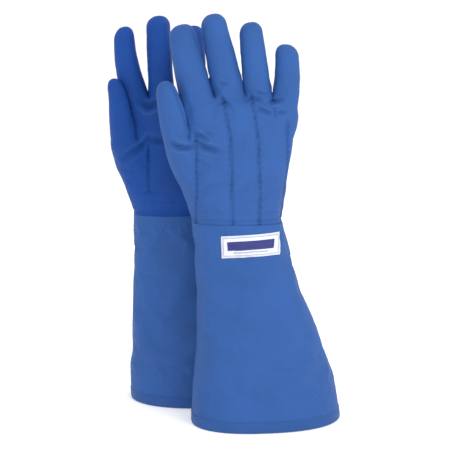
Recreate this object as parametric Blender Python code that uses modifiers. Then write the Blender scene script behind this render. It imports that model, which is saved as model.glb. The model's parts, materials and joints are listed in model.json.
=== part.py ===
"""A pair of elbow-length cryogenic gloves, standing on their open cuffs.

Each glove is built in three layers, as the real one is sewn: a woven outer shell, a thick insulation
and a thin inner liner. Each of the five stalls, the hand and the gauntlet cuff has its own layers. The
stalls turn at their bases, the hand turns at the wrist, and the hem binding carries the glove.

Units are metres, +Z is up, and -Y is the front. The origin is on the ground between the two gloves.
"""

import math
from collections import namedtuple

import bmesh
import bpy
from mathutils import Matrix, Vector

# One cross-section: its height, where its middle is in X, its half width, its half depth towards the
# front and towards the back, and how square it is (2 is an ellipse).
Ring = namedtuple("Ring", "z middle width front back square")

# One stall: where its hinge is in X, the half width and half depth of its rounded base, its widest and
# its tip's half width, its length from the hinge, and how far it leans to +X, in degrees.
Stall = namedtuple("Stall", "x base_width base_depth body_width tip_width length lean")

# One layer of the wall: how deep it starts under the outer face, and how thick it is.
Layer = namedtuple("Layer", "inset thickness material")

LAYERS = {
    "shell": Layer(0.0, 0.0008, "shell_fabric"),
    "insulation": Layer(0.0017, 0.0025, "insulation_batting"),
    "liner": Layer(0.0058, 0.0006, "liner_knit"),
}
STALL_LAYERS = {
    "shell": Layer(0.0, 0.0008, "shell_fabric"),
    "insulation": Layer(0.0011, 0.0027, "insulation_batting"),
    "liner": Layer(0.0042, 0.0005, "liner_knit"),
}

# The gauntlet cuff. It flares, and its front bulges more than its back.
CUFF_RINGS = (
    Ring(0.0022, 0.0475, 0.0865, 0.054, 0.032, 2.4),
    Ring(0.046, 0.0450, 0.0820, 0.051, 0.033, 2.4),
    Ring(0.109, 0.0360, 0.0680, 0.046, 0.036, 2.4),
    Ring(0.152, 0.0275, 0.0610, 0.043, 0.038, 2.4),
    Ring(0.190, 0.0205, 0.0560, 0.041, 0.0395, 2.4),
    Ring(0.228, 0.0140, 0.0530, 0.0403, 0.0403, 2.4),
)
CUFF_STEPS = 20

# The hand. Its lower end is rounded about the wrist's hinge and sits inside the cuff's mouth.
WRIST_Z = 0.236
WRIST = Ring(WRIST_Z, 0.013, 0.0455, 0.033, 0.033, 2.4)
WRIST_ROUND = math.radians(38)
HAND_RINGS = (
    WRIST,
    Ring(0.254, 0.0110, 0.0545, 0.0320, 0.0320, 2.4),
    Ring(0.286, 0.0070, 0.0630, 0.0290, 0.0290, 2.6),
    Ring(0.304, 0.0060, 0.0670, 0.0270, 0.0270, 2.9),
    Ring(0.321, 0.0110, 0.0630, 0.0253, 0.0253, 3.4),
    Ring(0.334, 0.0165, 0.0615, 0.0240, 0.0240, 4.2),
    Ring(0.362, 0.0160, 0.0650, 0.0222, 0.0222, 5.0),
)
HAND_STEPS = 24
PANEL_STEP = math.radians(10)
PANEL_GAP = 0.0002

# The hand's upper edge follows the knuckles. It is higher at the back of the hand than at the palm,
# which leaves room for the stalls to bend.
KNUCKLE_Z, KNUCKLE_X, KNUCKLE_DROP = 0.364, 0.005, 2.2
EDGE_DROP, EDGE_SLANT = 0.0015, 0.0035

# The sewn seams on the back of the hand, as shares of the half width at the knuckles and the wrist.
SEAMS = {
    "thumb_side": (-0.72, -0.74),
    "index_middle": (-0.31, -0.10),
    "middle_ring": (0.20, 0.49),
    "little_side": (0.86, 0.86),
}
BACK_PANELS = (
    ("index_back_panel", "thumb_side", "index_middle"),
    ("middle_back_panel", "index_middle", "middle_ring"),
    ("ring_back_panel", "middle_ring", "little_side"),
)

STALL_STEPS = 10
STALL_ROUND = math.radians(38)  # how far the rounded base goes on below the hinge
STALL_ROOT = 0.022  # above this the stall is at its full width
STALL_DOME = 1.15  # how high the tip's dome is, as a share of the tip's half width
STALL_DEPTH = 0.0155  # the half depth that a wide stall's body doesn't pass
FINGERS = {
    "right": {
        "index": Stall(-0.027, 0.0150, 0.0145, 0.0168, 0.0140, 0.091, -15.5),
        "middle": Stall(0.006, 0.0150, 0.0145, 0.0158, 0.0140, 0.099, -11.8),
        "ring": Stall(0.0378, 0.0126, 0.0135, 0.0142, 0.0130, 0.092, -5.8),
        "little": Stall(0.0629, 0.0111, 0.0120, 0.0130, 0.0120, 0.072, 5.0),
    },
    "left": {
        "index": Stall(-0.027, 0.0150, 0.0145, 0.0162, 0.0140, 0.094, -13.6),
        "middle": Stall(0.006, 0.0150, 0.0145, 0.0152, 0.0140, 0.101, -6.7),
        "ring": Stall(0.0378, 0.0126, 0.0135, 0.0142, 0.0130, 0.093, -0.5),
        "little": Stall(0.0629, 0.0111, 0.0120, 0.0130, 0.0120, 0.072, 8.5),
    },
}
THUMBS = {
    "right": Stall(-0.052, 0.0155, 0.0155, 0.0155, 0.0120, 0.069, -14.5),
    "left": Stall(-0.052, 0.0155, 0.0155, 0.0150, 0.0120, 0.074, -7.0),
}
THUMB_Y, THUMB_Z = -0.003, 0.320
THUMB_TILT = 13.0  # degrees forward, in both gloves
THUMB_SWING = 45.0
THUMB_CLEARANCE = 0.0007
THUMB_PLACES = 7
THUMB_LOW_ANGLES = (math.radians(-60), math.radians(-30), 0)

# The hem binding is a U-shaped tape folded round the lower edge of the three layers.
HEM_OUT, HEM_WALL, HEM_GAP, HEM_HEIGHT = 0.0013, 0.0010, 0.0003, 0.014
WALL = LAYERS["liner"].inset + LAYERS["liner"].thickness

# The wrist tape and the label lie a little off the shell, each a thin strip of its own.
TAPE_FROM, TAPE_TO = WRIST_Z + 0.003, WRIST_Z + 0.009
TAPE_OUT, TAPE_THICK, TAPE_STEPS = 0.00045, 0.0006, 40

LABEL_X, LABEL_Z, LABEL_WIDTH, LABEL_HEIGHT = 0.029, 0.2055, 0.065, 0.025
LABEL_TILT, LABEL_OUT, LABEL_THICK, LABEL_STEPS = 0.055, 0.0008, 0.0006, 8

# Where each glove stands, and which way its palm faces along Y.
PLACES = {"right": Vector((0.0047, -0.0379, 0)), "left": Vector((-0.0693, 0.0521, 0))}
PALMS = {"right": 1, "left": -1}

MATERIALS = {  # base colour, roughness
    "shell_fabric": ((0.055, 0.150, 0.460), 0.75),
    "insulation_batting": ((0.83, 0.80, 0.72), 0.95),
    "liner_knit": ((0.72, 0.74, 0.76), 0.90),
    "binding_tape": ((0.045, 0.125, 0.400), 0.65),
    "label_cloth": ((0.86, 0.87, 0.88), 0.60),
}


def clear_scene():
    for thing in list(bpy.data.objects):
        bpy.data.objects.remove(thing, do_unlink=True)


def make_collection(name):
    collection = bpy.data.collections.new(name)
    bpy.context.scene.collection.children.link(collection)
    return collection


def make_materials():
    made = {}
    for name, (colour, roughness) in MATERIALS.items():
        material = bpy.data.materials.new(name)
        material.use_nodes = True
        shader = material.node_tree.nodes["Principled BSDF"]
        shader.inputs["Base Color"].default_value = (*colour, 1)
        shader.inputs["Roughness"].default_value = roughness
        material.diffuse_color = (*colour, 1)
        made[name] = material
    return made


def power(value, exponent):
    """A power that keeps the sign of its base."""
    return math.copysign(abs(value) ** exponent, value)


def ring_point(ring, angle, inset):
    """A point of a cross-section, moved inwards along the outline's own normal."""
    cosine, sine = math.cos(angle), math.sin(angle)
    depth = ring.back if sine > 0 else ring.front
    x = ring.width * power(cosine, 2 / ring.square)
    y = depth * power(sine, 2 / ring.square)
    slope = 2 - 2 / ring.square
    normal = Vector((power(cosine, slope) / ring.width, power(sine, slope) / depth)).normalized()
    return Vector((ring.middle + x - inset * normal.x, y - inset * normal.y, ring.z))


def mix_rings(low, high, z):
    share = (z - low.z) / (high.z - low.z)
    return Ring(*(a + (b - a) * share for a, b in zip(low, high)))


def ring_at(rings, z):
    """The cross-section at a height, which may lie a little beyond the first or the last ring."""
    for low, high in zip(rings, rings[1:]):
        if z <= high.z:
            break
    return mix_rings(low, high, z)


def loop_angles(steps):
    return [2 * math.pi * i / steps for i in range(steps)]


def add_skin(mesh, rows, closed):
    """Joins rows of points into one skin. The rows run anticlockwise, seen from the last one."""
    made = [[mesh.verts.new(point) for point in row] for row in rows]
    for lower, upper in zip(made, made[1:]):
        count = len(lower)
        for i in range(count if closed else count - 1):
            j = (i + 1) % count
            mesh.faces.new((lower[i], lower[j], upper[j], upper[i]))
    return made


def add_tip(mesh, row, point, upwards=True):
    tip = mesh.verts.new(point)
    for a, b in zip(row, row[1:] + row[:1]):
        mesh.faces.new((a, b, tip) if upwards else (b, a, tip))


def make_object(name, mesh, collection, material, place=None):
    """An object from a bmesh. place is the matrix that its points are given in."""
    data = bpy.data.meshes.new(name)
    mesh.to_mesh(data)
    mesh.free()
    if material:
        data.materials.append(material)
    thing = bpy.data.objects.new(name, data)
    thing.matrix_world = place or Matrix()
    collection.objects.link(thing)
    return thing


def thicken(thing, thickness, offset=-1):
    wall = thing.modifiers.new("wall", "SOLIDIFY")
    wall.thickness = thickness
    wall.offset = offset


def stall_rows(stall, inset, steps, low_angles):
    """The cross-sections of a stall about its hinge, from its rounded base to where its tip closes."""
    base = Ring(0, 0, stall.base_width - inset, stall.base_depth - inset, stall.base_depth - inset, 2)
    rings = [
        base._replace(
            z=base.front * math.sin(angle),
            width=base.width * math.cos(angle),
            front=base.front * math.cos(angle),
            back=base.back * math.cos(angle),
        )
        for angle in low_angles
    ]
    dome = stall.tip_width * STALL_DOME
    tip_start = stall.length - dome
    body, tip = stall.body_width - inset, stall.tip_width - inset
    body_depth = max(stall.base_depth, min(stall.body_width, STALL_DEPTH)) - inset
    rings.append(Ring(STALL_ROOT, 0, body, body_depth, body_depth, 2))
    for angle in (0, math.radians(45)):
        wide, high = tip * math.cos(angle), (dome - inset) * math.sin(angle)
        rings.append(Ring(tip_start + high, 0, wide, wide, wide, 2))
    return [[ring_point(ring, angle, 0) for angle in loop_angles(steps)] for ring in rings]


def make_stall(name, stall, place, collection, materials):
    """The three layers of one stall, each a cup that is open at its base."""
    for part, layer in STALL_LAYERS.items():
        mesh = bmesh.new()
        rows = stall_rows(stall, layer.inset, STALL_STEPS, (-STALL_ROUND, 0))
        made = add_skin(mesh, rows, closed=True)
        add_tip(mesh, made[-1], (0, 0, stall.length - layer.inset))
        cup = make_object(f"{name}_{part}", mesh, collection, materials[layer.material], place)
        thicken(cup, layer.thickness)


def make_thumb_room(side, stall, place, axis, collection):
    """The space that the thumb needs while it swings: the hull of a few places a little larger than it."""
    mesh = bmesh.new()
    rows = stall_rows(stall, -THUMB_CLEARANCE, 2 * STALL_STEPS, THUMB_LOW_ANGLES)
    ends = [
        Vector((0, 0, stall.length + THUMB_CLEARANCE)),
        Vector((0, 0, -stall.base_depth - THUMB_CLEARANCE)),
    ]
    for i in range(THUMB_PLACES):
        swing = Matrix.Rotation(math.radians(THUMB_SWING) * i / (THUMB_PLACES - 1), 3, axis)
        turned = swing @ place.to_3x3()
        for point in ends + [point for row in rows for point in row]:
            mesh.verts.new(turned @ point)
    hull = bmesh.ops.convex_hull(mesh, input=mesh.verts)
    unused = set(hull["geom_interior"]) | set(hull["geom_unused"])
    bmesh.ops.delete(mesh, geom=[v for v in unused if isinstance(v, bmesh.types.BMVert)])
    at = Matrix.Translation(place.translation)
    room = make_object(f"{side}_thumb_room", mesh, collection, None, at)
    room.display_type = "WIRE"
    room.hide_render = True
    return room


def cut_away(thing, cutter):
    cut = thing.modifiers.new("thumb_hole", "BOOLEAN")
    cut.operation = "DIFFERENCE"
    cut.solver = "EXACT"
    cut.object = cutter


def finger_place(side, stall):
    """The matrix of a finger stall: its origin is on its hinge, and its Z runs along it."""
    z = KNUCKLE_Z - KNUCKLE_DROP * (stall.x - KNUCKLE_X) ** 2
    lean = Matrix.Rotation(math.radians(stall.lean), 4, "Y")
    return Matrix.Translation(PLACES[side] + Vector((stall.x, 0, z))) @ lean


def thumb_place(side, stall):
    lean = Matrix.Rotation(math.radians(stall.lean), 4, "Y")
    tilt = Matrix.Rotation(math.radians(THUMB_TILT), 4, "X")
    return Matrix.Translation(PLACES[side] + Vector((stall.x, THUMB_Y, THUMB_Z))) @ lean @ tilt


def thumb_axis(side, place):
    """The thumb swings outwards and towards the palm at once."""
    along = place.to_3x3() @ Vector((0, 0, 1))
    swing = Vector((-1, PALMS[side], 0))
    return along.cross(swing).normalized()


def hand_rings(inset):
    """The hand's cross-sections, with the rounded lower end that nests in the cuff."""
    depth = WRIST.front - inset
    rounded = WRIST._replace(
        z=WRIST_Z - depth * math.sin(WRIST_ROUND),
        width=WRIST.width * math.cos(WRIST_ROUND),
        front=WRIST.front * math.cos(WRIST_ROUND),
        back=WRIST.back * math.cos(WRIST_ROUND),
    )
    return (rounded, *HAND_RINGS)


def hand_row(side, ring, angles, inset):
    """One row of the hand's points. The top row follows the knuckles and slants to the palm."""
    row = [ring_point(ring, angle, inset) for angle in angles]
    if ring is HAND_RINGS[-1]:
        for point in row:
            knuckle = KNUCKLE_Z - KNUCKLE_DROP * (point.x - KNUCKLE_X) ** 2
            slant = EDGE_SLANT * PALMS[side] * point.y / ring.front
            point.z = knuckle - EDGE_DROP - slant
    return row


def seam_angle(side, seam, ring, shift):
    """Where a seam crosses a cross-section, as an angle on the back of the hand."""
    top, bottom = SEAMS[seam]
    rise = (ring.z - HAND_RINGS[0].z) / (HAND_RINGS[-1].z - HAND_RINGS[0].z)
    across = bottom + (top - bottom) * max(0, rise) + shift / ring.width
    return -PALMS[side] * math.acos(power(across, ring.square / 2))


def panel_angles(side, ring, left_seam, right_seam):
    """The angles from one seam to another, anticlockwise."""
    left = seam_angle(side, left_seam, ring, PANEL_GAP)
    right = seam_angle(side, right_seam, ring, -PANEL_GAP)
    return (left, right) if PALMS[side] > 0 else (right, left)


def palm_angles(side, ring):
    """The angles of the palm panel, which goes round both sides of the hand."""
    left = seam_angle(side, "thumb_side", ring, -PANEL_GAP)
    right = seam_angle(side, "little_side", ring, PANEL_GAP)
    start, stop = (right, left) if PALMS[side] > 0 else (left, right)
    return start, stop + 2 * math.pi


def make_panel(name, side, angles_at, collection, material):
    """One cut panel of the hand's outer shell."""
    layer = LAYERS["shell"]
    rings = hand_rings(layer.inset)
    spans = [angles_at(ring) for ring in rings]
    columns = math.ceil(max(stop - start for start, stop in spans) / PANEL_STEP)
    rows = []
    for ring, (start, stop) in zip(rings, spans):
        angles = [start + (stop - start) * i / columns for i in range(columns + 1)]
        rows.append(hand_row(side, ring, angles, layer.inset))
    mesh = bmesh.new()
    add_skin(mesh, rows, closed=False)
    panel = make_object(name, mesh, collection, material, Matrix.Translation(PLACES[side]))
    thicken(panel, layer.thickness)
    return panel


def make_hand(side, thumb_room, collection, materials):
    shell = materials[LAYERS["shell"].material]
    for name, left, right in BACK_PANELS:
        panel = make_panel(
            f"{side}_{name}", side, lambda ring: panel_angles(side, ring, left, right), collection, shell
        )
        if left == "thumb_side":
            cut_away(panel, thumb_room)
    palm = make_panel(
        f"{side}_palm_panel", side, lambda ring: palm_angles(side, ring), collection, shell
    )
    cut_away(palm, thumb_room)
    for part in ("insulation", "liner"):
        layer = LAYERS[part]
        mesh = bmesh.new()
        angles = loop_angles(HAND_STEPS)
        rows = [hand_row(side, ring, angles, layer.inset) for ring in hand_rings(layer.inset)]
        add_skin(mesh, rows, closed=True)
        sleeve = make_object(
            f"{side}_hand_{part}",
            mesh,
            collection,
            materials[layer.material],
            Matrix.Translation(PLACES[side]),
        )
        thicken(sleeve, layer.thickness)
        cut_away(sleeve, thumb_room)


def make_wrist_tape(side, collection, materials):
    """The narrow tape sewn round the wrist seam."""
    mesh = bmesh.new()
    angles = loop_angles(TAPE_STEPS)
    rows = []
    for z in (TAPE_FROM, TAPE_TO):
        ring = ring_at(HAND_RINGS, z)
        rows.append([ring_point(ring, angle, -TAPE_OUT) for angle in angles])
    add_skin(mesh, rows, closed=True)
    place = Matrix.Translation(PLACES[side])
    tape = make_object(f"{side}_wrist_tape", mesh, collection, materials["binding_tape"], place)
    thicken(tape, TAPE_THICK, offset=1)


def make_cuff(side, collection, materials):
    place = Matrix.Translation(PLACES[side])
    for part, layer in LAYERS.items():
        mesh = bmesh.new()
        angles = loop_angles(CUFF_STEPS)
        rows = [[ring_point(ring, angle, layer.inset) for angle in angles] for ring in CUFF_RINGS]
        add_skin(mesh, rows, closed=True)
        cuff = make_object(f"{side}_cuff_{part}", mesh, collection, materials[layer.material], place)
        thicken(cuff, layer.thickness)


def make_hem_binding(side, collection, materials):
    inner = WALL + HEM_GAP
    outline = (  # how deep under the cuff's outer face, and the height
        (-HEM_OUT, 0),
        (-HEM_OUT, HEM_HEIGHT),
        (-HEM_OUT + HEM_WALL, HEM_HEIGHT),
        (-HEM_OUT + HEM_WALL, HEM_WALL),
        (inner, HEM_WALL),
        (inner, HEM_HEIGHT),
        (inner + HEM_WALL, HEM_HEIGHT),
        (inner + HEM_WALL, 0),
    )
    mesh = bmesh.new()
    rows = []
    for inset, z in outline:
        ring = ring_at(CUFF_RINGS, z)
        rows.append([ring_point(ring, angle, inset) for angle in loop_angles(CUFF_STEPS)])
    made = add_skin(mesh, rows, closed=True)
    for i, point in enumerate(made[0]):
        j = (i + 1) % CUFF_STEPS
        mesh.faces.new((made[-1][i], made[-1][j], made[0][j], point))
    place = Matrix.Translation(PLACES[side])
    make_object(f"{side}_hem_binding", mesh, collection, materials["binding_tape"], place)


def make_label(side, collection, materials):
    """The plain cloth label sewn on the back of the cuff."""
    mesh = bmesh.new()
    rows = []
    for z_share in (-0.5, 0.5):
        row = []
        for i in range(LABEL_STEPS + 1):
            along = (i / LABEL_STEPS - 0.5) * LABEL_WIDTH
            ring = ring_at(CUFF_RINGS, LABEL_Z + z_share * LABEL_HEIGHT + LABEL_TILT * along)
            across = (LABEL_X + along - ring.middle) / ring.width
            angle = -PALMS[side] * math.acos(power(across, ring.square / 2))
            row.append(ring_point(ring, angle, -LABEL_OUT))
        rows.append(row if PALMS[side] > 0 else row[::-1])
    add_skin(mesh, rows, closed=False)
    place = Matrix.Translation(PLACES[side])
    label = make_object(f"{side}_label", mesh, collection, materials["label_cloth"], place)
    thicken(label, LABEL_THICK, offset=1)


def make_glove(side, parts, cutters, materials):
    thumb = THUMBS[side]
    place = thumb_place(side, thumb)
    room = make_thumb_room(side, thumb, place, thumb_axis(side, place), cutters)
    make_stall(f"{side}_thumb", thumb, place, parts, materials)
    for finger, stall in FINGERS[side].items():
        make_stall(f"{side}_{finger}", stall, finger_place(side, stall), parts, materials)
    make_hand(side, room, parts, materials)
    make_wrist_tape(side, parts, materials)
    make_cuff(side, parts, materials)
    make_hem_binding(side, parts, materials)
    make_label(side, parts, materials)


def main():
    clear_scene()
    parts = make_collection("cryogenic_gloves")
    cutters = make_collection("cutters")
    materials = make_materials()
    for side in PLACES:
        make_glove(side, parts, cutters, materials)


main()
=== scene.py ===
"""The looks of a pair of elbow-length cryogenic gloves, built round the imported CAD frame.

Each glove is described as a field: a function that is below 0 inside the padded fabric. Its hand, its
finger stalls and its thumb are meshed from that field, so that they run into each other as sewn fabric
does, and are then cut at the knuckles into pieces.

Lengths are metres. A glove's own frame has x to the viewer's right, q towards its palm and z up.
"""

import json
import math

import bmesh
import bpy
import numpy as np
from mathutils import Matrix, Vector


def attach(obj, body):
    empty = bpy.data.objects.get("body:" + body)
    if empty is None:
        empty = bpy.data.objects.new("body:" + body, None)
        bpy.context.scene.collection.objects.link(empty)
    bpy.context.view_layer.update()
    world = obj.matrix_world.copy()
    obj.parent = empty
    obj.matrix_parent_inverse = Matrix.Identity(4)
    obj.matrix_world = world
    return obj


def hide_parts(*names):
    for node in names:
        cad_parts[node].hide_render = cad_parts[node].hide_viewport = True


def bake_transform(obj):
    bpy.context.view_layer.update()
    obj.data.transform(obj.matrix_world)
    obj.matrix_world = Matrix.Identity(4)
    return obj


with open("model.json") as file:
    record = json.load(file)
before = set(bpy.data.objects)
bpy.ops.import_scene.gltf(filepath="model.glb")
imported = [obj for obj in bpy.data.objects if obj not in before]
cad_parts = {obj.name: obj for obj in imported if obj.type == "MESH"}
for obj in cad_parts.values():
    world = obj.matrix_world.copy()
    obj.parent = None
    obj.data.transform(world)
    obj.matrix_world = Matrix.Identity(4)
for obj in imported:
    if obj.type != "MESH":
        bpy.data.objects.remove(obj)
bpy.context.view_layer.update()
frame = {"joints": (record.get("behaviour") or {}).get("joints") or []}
JOINTS = {joint["name"]: joint for joint in frame["joints"]}

SIDES = ("right", "left")
FINGERS = ("index", "middle", "ring", "little")
PALM = {"right": 1, "left": -1}  # which way the palm faces along Y
WRIST_CENTRE = Vector((0.013, 0, 0.236))
PLACES = {side: Vector(JOINTS[f"{side}_wrist_bend"]["pos_m"]) - WRIST_CENTRE for side in SIDES}

# ---------------------------------------------------------------------------------- sizes of the glove

# The hand's sections: height, middle, half width, depth to the back, depth to the palm, squareness.
HAND_RINGS = (
    (0.205, 0.0165, 0.0505, 0.0375, 0.0375, 2.3),
    (0.222, 0.0138, 0.0510, 0.0375, 0.0375, 2.3),
    (0.236, 0.0128, 0.0519, 0.0367, 0.0370, 2.3),
    (0.254, 0.0112, 0.0564, 0.0335, 0.0355, 2.4),
    (0.288, 0.0072, 0.0645, 0.0290, 0.0315, 2.5),
    (0.308, 0.0075, 0.0670, 0.0268, 0.0285, 2.6),
    (0.326, 0.0120, 0.0645, 0.0250, 0.0260, 2.7),
    (0.342, 0.0160, 0.0647, 0.0232, 0.0235, 2.8),
    (0.366, 0.0165, 0.0660, 0.0205, 0.0205, 2.8),
)
KNUCKLE_Z, KNUCKLE_X, KNUCKLE_DROP = 0.3665, 0.008, 2.2
HAND_FILLET, FINGER_FILLET = 0.014, 0.007
HAND_WALL, LINING_STEP = 0.0065, 0.0030

# Stalls: length, half widths at four knots, how flat, how far it bows, and how far its root is aside.
STALLS = {
    "right": {
        "index": (0.0900, (0.0204, 0.0193, 0.0181, 0.0145), 0.85, -0.0008, -0.0030),
        "middle": (0.0983, (0.0178, 0.0176, 0.0170, 0.0137), 0.90, -0.0008, 0.0014),
        "ring": (0.0905, (0.0162, 0.0161, 0.0150, 0.0126), 0.95, 0.0, 0.0002),
        "little": (0.0708, (0.0162, 0.0153, 0.0144, 0.0129), 0.95, 0.0030, 0.0026),
    },
    "left": {
        "index": (0.0937, (0.0172, 0.0158, 0.0144, 0.0121), 1.00, -0.0050, -0.0042),
        "middle": (0.1027, (0.0166, 0.0156, 0.0153, 0.0138), 0.98, -0.0006, -0.0084),
        "ring": (0.0930, (0.0144, 0.0142, 0.0138, 0.0122), 1.00, 0.0, 0.0),
        "little": (0.0720, (0.0140, 0.0136, 0.0134, 0.0124), 1.00, 0.0, 0.0),
    },
}
STALL_KNOTS = (0.0, 0.25, 0.52, 0.86)
STALL_DOME = 0.0135
STALL_SQUARE = 2.25
STALL_CURL = 0.004  # how far the tip leans to the palm
CUTS = {"index": 0.0035, "middle": 0.0075, "ring": 0.0120, "little": 0.0085}  # knuckle cut, above the hinge
BEND_LENGTH = 0.020
SLOT = 0.0004  # half the gap between stalls that touch

# Thumbs: lean and tilt in degrees, length, half widths at four knots, and how far the root is aside, to the
# front and to the right.
THUMBS = {
    "right": (-14.5, 13.0, 0.0690, (0.0170, 0.0168, 0.0153, 0.0118), 0.0070, 0.0),
    "left": (-5.4, 13.0, 0.0735, (0.0213, 0.0184, 0.0145, 0.0109), 0.0060, 0.0085),
}
THUMB_KNOTS = (0.0, 0.25, 0.55, 0.80)
THUMB_DOME = 0.0155
THUMB_ROOT = 0.045  # how far the root runs out under the skin of the hand
THUMB_FILLET = 0.016
THUMB_CUT, THUMB_FREE = -0.004, 0.005  # where the thumb's own piece starts, and where it is off the hand
THUMB_REACH = 0.012

# The gauntlet cuff's sections: height, middle, half width, depth to the front and to the back.
CUFF_RINGS = {
    "right": (
        (0.0000, 0.0480, 0.0870, 0.0625, 0.0318),
        (0.0460, 0.0452, 0.0820, 0.0550, 0.0330),
        (0.0780, 0.0396, 0.0740, 0.0496, 0.0347),
        (0.1090, 0.0350, 0.0681, 0.0462, 0.0360),
        (0.1520, 0.0271, 0.0607, 0.0430, 0.0380),
        (0.1900, 0.0202, 0.0551, 0.0404, 0.0391),
        (0.2290, 0.0134, 0.0512, 0.0385, 0.0385),
    ),
    "left": (
        (0.0000, 0.0450, 0.0885, 0.0635, 0.0318),
        (0.0460, 0.0415, 0.0860, 0.0540, 0.0330),
        (0.0780, 0.0360, 0.0790, 0.0493, 0.0347),
        (0.1090, 0.0315, 0.0730, 0.0462, 0.0360),
        (0.1520, 0.0250, 0.0650, 0.0430, 0.0380),
        (0.1900, 0.0192, 0.0577, 0.0402, 0.0391),
        (0.2290, 0.0134, 0.0516, 0.0385, 0.0385),
    ),
}
CUFF_TWIST = {"right": 0.12, "left": 0.0}  # how far the hem is skewed to the back at its right end
CUFF_SQUARE = 2.35
CUFF_TOP = 0.2290
CUFF_WALL = 0.0064
HEM_HEIGHT = 0.0130
CUFF_ROWS, CUFF_COLUMNS = 46, 96  # the grid of the cuff's cloth pass
CUFF_GROWTH, CUFF_CAP = 0.012, 0.0024

SHELL_COLOUR = (0.0215, 0.0840, 0.285)
PAINTED_PALM_SHADE = (0.15, 0.62, 0.93)  # painted shade: the palm side is painted a deeper blue than the back, to stand for shade

LABEL_X, LABEL_Z, LABEL_TILT = 0.0282, 0.2062, 0.055
LABEL_WIDTH, LABEL_HEIGHT = 0.0650, 0.0250
LABEL_STEPS = (66, 34)

# Seams on the back of the hand, each as (x, z) from the knuckles down to the wrist.
BACK_SEAMS = (
    ((-0.034, 0.330), (-0.0325, 0.316), (-0.032, 0.270), (-0.032, 0.215)),
    ((-0.004, 0.372), (0.000, 0.353), (0.0055, 0.325), (0.007, 0.265), (0.008, 0.215)),
    ((0.028, 0.376), (0.032, 0.352), (0.036, 0.322), (0.0385, 0.265), (0.0375, 0.215)),
    ((0.069, 0.345), (0.069, 0.290), (0.064, 0.250), (0.061, 0.215)),
)
PALM_SEAMS = (((-0.0165, 0.316), (-0.0165, 0.256)),)

# Creases of the fabric, as (x, z) points, half width and depth.
BACK_CREASES = (
    (((-0.035, 0.329), (-0.028, 0.327), (-0.021, 0.323)), 0.0022, 0.0026),
    (((-0.033, 0.321), (-0.022, 0.314), (-0.006, 0.310)), 0.0028, 0.0029),
    (((-0.023, 0.331), (-0.014, 0.328)), 0.0018, 0.0013),
    (((-0.033, 0.300), (-0.020, 0.294)), 0.0025, 0.0014),
    (((-0.006, 0.383), (0.003, 0.384)), 0.0018, 0.0016),
    (((-0.003, 0.390), (0.007, 0.389)), 0.0018, 0.0011),
    (((-0.004, 0.366), (0.007, 0.357)), 0.0028, 0.0018),
    (((0.028, 0.368), (0.040, 0.367)), 0.0018, 0.0022),
    (((0.034, 0.374), (0.048, 0.371)), 0.0020, 0.0018),
    (((0.036, 0.357), (0.044, 0.354), (0.051, 0.350)), 0.0022, 0.0022),
    (((0.051, 0.364), (0.063, 0.366)), 0.0018, 0.0019),
    (((0.057, 0.352), (0.066, 0.353)), 0.0018, 0.0018),
    (((0.0545, 0.357), (0.0545, 0.347)), 0.0015, 0.0019),
    (((-0.027, 0.262), (-0.018, 0.271), (-0.005, 0.275), (0.004, 0.273)), 0.0048, 0.0016),
    (((0.008, 0.261), (0.021, 0.269), (0.034, 0.279)), 0.0048, 0.0014),
    (((0.038, 0.254), (0.048, 0.262), (0.059, 0.270)), 0.0048, 0.0013),
)
PALM_CREASES = (
    (((-0.017, 0.320), (-0.024, 0.311), (-0.036, 0.304), (-0.046, 0.297)), 0.0031, 0.0026),
    (((-0.028, 0.365), (-0.018, 0.358), (-0.004, 0.363)), 0.0034, 0.0031),
    (((-0.017, 0.320), (-0.004, 0.318), (0.020, 0.321)), 0.0034, 0.0026),
    (((-0.048, 0.283), (-0.035, 0.284)), 0.0024, 0.0009),
    (((-0.045, 0.272), (-0.039, 0.270)), 0.0024, 0.0007),
    (((-0.036, 0.258), (-0.016, 0.257), (0.008, 0.258)), 0.0026, 0.0007),
)

# Creases of the thumbs, with which way they face: -1 is the back of the hand, 1 the palm.
THUMB_CREASES = {
    "right": (
        (((-0.066, 0.386), (-0.056, 0.378), (-0.048, 0.357), (-0.042, 0.338)), 0.0012, 0.0010, -1),
        (((-0.060, 0.319), (-0.052, 0.3145), (-0.042, 0.3135), (-0.034, 0.316)), 0.0026, 0.0034, -1),
    ),
    "left": (
        (((-0.060, 0.387), (-0.050, 0.388), (-0.043, 0.380), (-0.037, 0.362)), 0.0013, 0.0012, 1),
    ),
}

WRIST_SEAM = 0.2330
SEAM_WIDTH = 0.0016
PUCKER = 0.0070  # from one pucker of a seam to the next

THREAD_RADIUS = 0.00026
STITCH_PITCH, STITCH_SHARE = 0.0028, 0.72
STITCH_ASIDE = 0.0022  # how far the stitches lie beside the seam
HEM_STITCHES = 168

MESH_STEP = 0.0013
GRADIENT_STEP = 0.0003

# The cloth pass: its mesh, how much too big the fabric is cut, the filling's pressure and the most a
# point may move.
CLOTH_STEP = 0.0042
CLOTH_FRAMES = 20
CLOTH_GROWTH = 0.035
CLOTH_PRESSURE = 4.0
CLOTH_CAP = 0.0014


# ------------------------------------------------------------------------------------- small functions


def ramp(value, low, high):
    """0 below low, 1 above high, smooth between them. low may be the greater of the two."""
    t = np.clip((value - low) / (high - low), 0, 1)
    return t * t * (3 - 2 * t)


def smooth_min(a, b, reach):
    near = np.maximum(1 - np.abs(a - b) / reach, 0)
    return np.minimum(a, b) - near * near * reach / 4


def smooth_max(a, b, reach):
    return -smooth_min(-a, -b, reach)


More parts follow.
